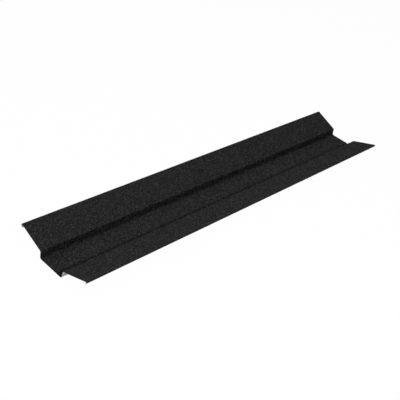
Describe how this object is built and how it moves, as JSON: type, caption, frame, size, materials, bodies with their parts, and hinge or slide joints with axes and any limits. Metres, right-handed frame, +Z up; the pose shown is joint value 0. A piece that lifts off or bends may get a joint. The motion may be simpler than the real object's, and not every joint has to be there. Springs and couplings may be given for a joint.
{
  "type": "valley cover strip",
  "caption": "Long folded roof valley cover strip: flat trough with upright steps, two sloping wings and folded-back outer hems, with a matt black stone granule coat.",
  "frame": {"origin": "middle of the trough's underside, at half the length, on the plane that the strip lies on", "axes": "+Y along the length, +X across the strip, +Z up out of the open trough"},
  "size_m": [0.2452, 1.25, 0.0512],
  "materials": {
    "granule_coat": "matt black mineral granules over primed steel"
  },
  "bodies": {
    "root": {"valley_cover_strip": "granule_coat"}
  },
  "joints": []
}
